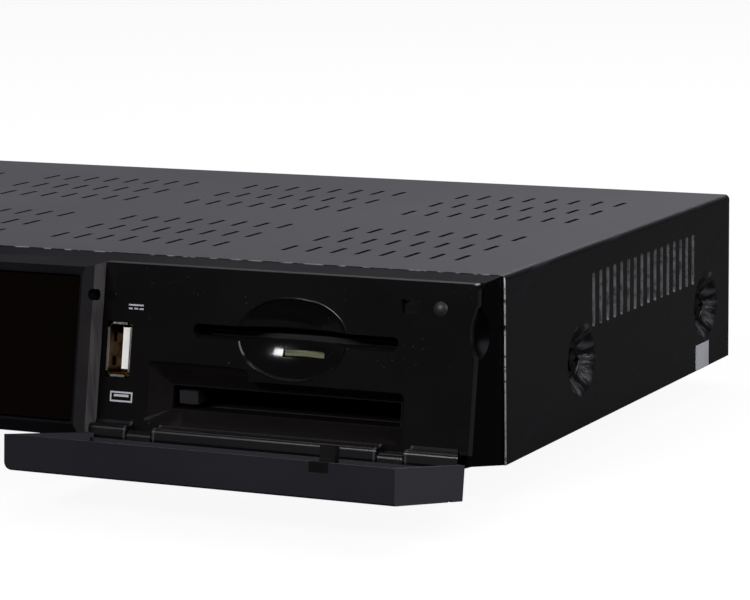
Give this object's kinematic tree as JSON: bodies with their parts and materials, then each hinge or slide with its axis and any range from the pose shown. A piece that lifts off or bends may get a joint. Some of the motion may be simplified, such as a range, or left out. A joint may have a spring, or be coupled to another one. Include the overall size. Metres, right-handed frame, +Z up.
{
  "type": "satellite television receiver",
  "caption": "Flat steel-cased satellite receiver on feet, with a leaning dark front whose right part is a bay with card, module and memory slots under a drop-down flap.",
  "frame": {"origin": "middle of the space that the receiver takes up with its flap open, on the surface that its feet stand on", "axes": "+X to the right seen from the front, +Y from the front to the back, +Z up"},
  "size_m": [0.2953, 0.2354, 0.0546],
  "materials": {
    "bare_steel": "zinc-plated sheet",
    "bay_plastic": "black, glossy",
    "black_plastic": "black moulding",
    "board_edge": "greenish-grey glass-fibre board",
    "brown_board": "paper board",
    "cable_brown": "brown insulation",
    "cable_grey": "grey insulation",
    "cable_red": "red insulation",
    "can_sleeve": "shrunk sleeve",
    "coil_tape": "yellow tape over ferrite",
    "contact_metal": "gold-plated contacts",
    "cooler_metal": "black anodised",
    "cover_paint": "fine-grained dark satin paint",
    "dark_screw": "black-passivated steel",
    "display_glass": "dark glass",
    "foot_rubber": "matt",
    "front_plastic": "dark anthracite, semi-gloss",
    "green_board": "solder mask on glass-fibre board",
    "grey_plastic": "grey moulding",
    "key_plastic": "dark, semi-gloss",
    "label_film": "blank white film",
    "nickel_metal": "nickel-plated",
    "phono_plastic": "yellow moulding",
    "pin_steel": "ground pin",
    "rear_paint": "dark satin paint",
    "sensor_epoxy": "dark red epoxy",
    "shell_metal": "plated springy sheet",
    "sink_metal": "plain extrusion",
    "switch_metal": "small pressed parts",
    "tin_plate": "tinned sheet",
    "white_plastic": "white moulding",
    "window_plastic": "smoked, polished"
  },
  "bodies": {
    "case": {"top_cover": "cover_paint", "base_tray": "bare_steel", "rear_panel": "rear_paint", "feet": "foot_rubber", "side_label": "label_film", "cover_side_screws": "dark_screw", "cover_rear_screws": "dark_screw", "front_fascia": "front_plastic", "bay_panel": "bay_plastic", "display_window": "window_plastic", "display_module": "display_glass", "remote_sensor": "sensor_epoxy", "front_board": "green_board", "key_switches": "switch_metal", "usb_shell": "shell_metal", "usb_tongue": "white_plastic", "usb_board": "green_board", "flap_hinge_pins": "pin_steel", "module_cage": "tin_plate", "module_contacts": "black_plastic", "card_reader": "black_plastic", "card_reader_board": "board_edge", "card_contacts": "contact_metal", "reader_posts": "shell_metal", "main_board": "green_board", "main_chip": "black_plastic", "chip_cooler": "cooler_metal", "board_standoffs": "pin_steel", "board_screws": "pin_steel", "power_board": "brown_board", "transformer": "coil_tape", "capacitors": "can_sleeve", "power_heat_sink": "sink_metal", "tuner_can": "tin_plate", "aerial_sockets": "nickel_metal", "video_socket": "tin_plate", "network_socket": "tin_plate", "phono_shells": "nickel_metal", "phono_inserts": "phono_plastic", "optical_socket": "black_plastic", "mains_inlet": "black_plastic", "inlet_pins": "contact_metal", "switch_frame": "black_plastic", "ribbon_cable": "cable_grey", "power_harness": "cable_red", "mains_leads": "cable_brown"},
    "flap": {"flap": "front_plastic"},
    "eject_button": {"eject_button": "grey_plastic"},
    "standby_key": {"standby_key": "key_plastic"},
    "channel_up_key": {"channel_up_key": "key_plastic"},
    "channel_down_key": {"channel_down_key": "key_plastic"},
    "switch_rocker": {"switch_rocker": "black_plastic"}
  },
  "joints": [
    {"name": "flap_hinge", "type": "hinge", "parent": "case", "child": "flap", "pos_m": [0, -0.07556, 0.01154], "axis": [1, 0, 0], "range_deg": [-90, 0]},
    {"name": "eject_press", "type": "slide", "parent": "case", "child": "eject_button", "axis": [0, 1, 0], "range_m": [0, 0.004], "stiffness_N_per_m": 120, "springref_m": -0.004},
    {"name": "standby_key_press", "type": "slide", "parent": "case", "child": "standby_key", "axis": [0, 0.9845, -0.1754], "range_m": [0, 0.0006], "stiffness_N_per_m": 500, "springref_m": -0.0008},
    {"name": "channel_up_key_press", "type": "slide", "parent": "case", "child": "channel_up_key", "axis": [0, 0.9845, -0.1754], "range_m": [0, 0.0006], "stiffness_N_per_m": 500, "springref_m": -0.0008},
    {"name": "channel_down_key_press", "type": "slide", "parent": "case", "child": "channel_down_key", "axis": [0, 0.9845, -0.1754], "range_m": [0, 0.0006], "stiffness_N_per_m": 500, "springref_m": -0.0008},
    {"name": "rocker_tip", "type": "hinge", "parent": "case", "child": "switch_rocker", "pos_m": [-0.086, 0.10372, 0.03], "axis": [1, 0, 0], "range_deg": [0, 16]}
  ]
}
